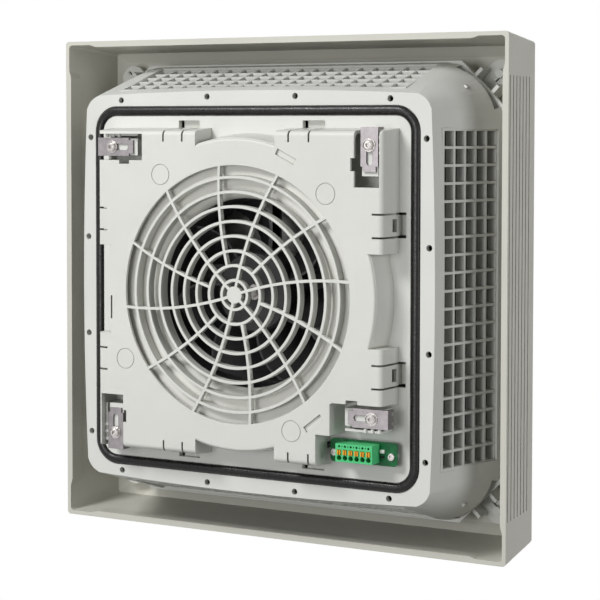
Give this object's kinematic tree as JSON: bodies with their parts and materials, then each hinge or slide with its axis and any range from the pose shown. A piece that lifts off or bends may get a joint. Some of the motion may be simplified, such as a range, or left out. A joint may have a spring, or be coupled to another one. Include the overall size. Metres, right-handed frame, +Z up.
{
  "type": "enclosure roof fan",
  "caption": "Square roof-mounted exhaust fan for a control cabinet: lift-off hood, latticed frame with filter mats, axial fan, clip-on grille, sheet clamps and terminal block.",
  "frame": {"origin": "fan axis at the underside of the mounting flange, which is the outer face of the roof sheet", "axes": "+Z up out of the enclosure towards the hood, +X and +Y along the square's sides, with the terminal block in the +X +Y corner"},
  "size_m": [0.416, 0.416, 0.1402],
  "materials": {
    "hood_plastic": "fine grained, light grey",
    "frame_plastic": "satin moulded, light grey",
    "cover_plastic": "satin moulded, light grey",
    "nozzle_plastic": "smooth, near white",
    "seal_foam": "skinned black foam",
    "mat_fibre": "open fibre",
    "fan_plastic": "moulded, black",
    "zinc_steel": "zinc plated",
    "bearing_steel": "ground",
    "winding": "enamelled winding and core",
    "insert_brass": "knurled",
    "board_green": "solder mask",
    "block_green": "moulded, light green",
    "lever_orange": "moulded, orange",
    "contact_copper": "rolled strip",
    "lead_pvc": "black sleeve",
    "stud_steel": "zinc plated"
  },
  "bodies": {
    "root": {"base_frame": "frame_plastic", "top_plate": "frame_plastic", "top_plate_screws": "zinc_steel", "mounting_gasket": "seal_foam", "filter_mat_1": "mat_fibre", "filter_mat_2": "mat_fibre", "filter_mat_3": "mat_fibre", "filter_mat_4": "mat_fibre", "inlet_nozzle": "nozzle_plastic", "grille_cover": "cover_plastic", "fan_frame": "fan_plastic", "fan_screws": "zinc_steel", "stator": "winding", "front_bearing": "bearing_steel", "rear_bearing": "bearing_steel", "fan_lead": "lead_pvc", "clamp_screws": "zinc_steel", "clamp_washers": "zinc_steel", "clamp_inserts": "insert_brass", "terminal_board": "board_green", "terminal_block": "block_green", "terminal_pins": "zinc_steel", "contact_springs": "contact_copper", "board_screws": "zinc_steel"},
    "hood": {"hood": "hood_plastic"},
    "rotor": {"rotor_cup": "bearing_steel", "rotor_shaft": "bearing_steel", "impeller": "fan_plastic", "shaft_clip": "bearing_steel"},
    "stud_1": {"hood_stud_1": "stud_steel"},
    "stud_2": {"hood_stud_2": "stud_steel"},
    "stud_3": {"hood_stud_3": "stud_steel"},
    "stud_4": {"hood_stud_4": "stud_steel"},
    "clamp_1": {"clamp_plate_1": "zinc_steel"},
    "clamp_2": {"clamp_plate_2": "zinc_steel"},
    "clamp_3": {"clamp_plate_3": "zinc_steel"},
    "clamp_4": {"clamp_plate_4": "zinc_steel"},
    "lever_1": {"release_lever_1": "lever_orange"},
    "lever_2": {"release_lever_2": "lever_orange"},
    "lever_3": {"release_lever_3": "lever_orange"},
    "lever_4": {"release_lever_4": "lever_orange"},
    "lever_5": {"release_lever_5": "lever_orange"},
    "lever_6": {"release_lever_6": "lever_orange"}
  },
  "joints": [
    {"name": "hood_lift", "type": "slide", "parent": "root", "child": "hood", "axis": [0, 0, 1], "range_m": [0, 0.05]},
    {"name": "rotor_spin", "type": "hinge", "parent": "root", "child": "rotor", "pos_m": [0, 0, 0.03], "axis": [0, 0, -1], "continuous": true},
    {"name": "clamp_1_slide", "type": "slide", "parent": "root", "child": "clamp_1", "axis": [-1, 0, 0], "range_m": [0, 0.013]},
    {"name": "clamp_2_slide", "type": "slide", "parent": "root", "child": "clamp_2", "axis": [0, -1, 0], "range_m": [0, 0.013]},
    {"name": "clamp_3_slide", "type": "slide", "parent": "root", "child": "clamp_3", "axis": [0, 1, 0], "range_m": [0, 0.013]},
    {"name": "clamp_4_slide", "type": "slide", "parent": "root", "child": "clamp_4", "axis": [1, 0, 0], "range_m": [0, 0.013]},
    {"name": "lever_1_press", "type": "slide", "parent": "root", "child": "lever_1", "axis": [0, 0, 1], "range_m": [0, 0.0015], "stiffness_N_per_m": 600},
    {"name": "lever_2_press", "type": "slide", "parent": "root", "child": "lever_2", "axis": [0, 0, 1], "range_m": [0, 0.0015], "stiffness_N_per_m": 600},
    {"name": "lever_3_press", "type": "slide", "parent": "root", "child": "lever_3", "axis": [0, 0, 1], "range_m": [0, 0.0015], "stiffness_N_per_m": 600},
    {"name": "lever_4_press", "type": "slide", "parent": "root", "child": "lever_4", "axis": [0, 0, 1], "range_m": [0, 0.0015], "stiffness_N_per_m": 600},
    {"name": "lever_5_press", "type": "slide", "parent": "root", "child": "lever_5", "axis": [0, 0, 1], "range_m": [0, 0.0015], "stiffness_N_per_m": 600},
    {"name": "lever_6_press", "type": "slide", "parent": "root", "child": "lever_6", "axis": [0, 0, 1], "range_m": [0, 0.0015], "stiffness_N_per_m": 600},
    {"name": "stud_1_turn", "type": "hinge", "parent": "hood", "child": "stud_1", "pos_m": [0.177, -0.177, 0.1], "axis": [0, 0, 1], "range_deg": [0, 90]},
    {"name": "stud_2_turn", "type": "hinge", "parent": "hood", "child": "stud_2", "pos_m": [-0.177, -0.177, 0.1], "axis": [0, 0, 1], "range_deg": [0, 90]},
    {"name": "stud_3_turn", "type": "hinge", "parent": "hood", "child": "stud_3", "pos_m": [-0.177, 0.177, 0.1], "axis": [0, 0, 1], "range_deg": [0, 90]},
    {"name": "stud_4_turn", "type": "hinge", "parent": "hood", "child": "stud_4", "pos_m": [0.177, 0.177, 0.1], "axis": [0, 0, 1], "range_deg": [0, 90]}
  ]
}
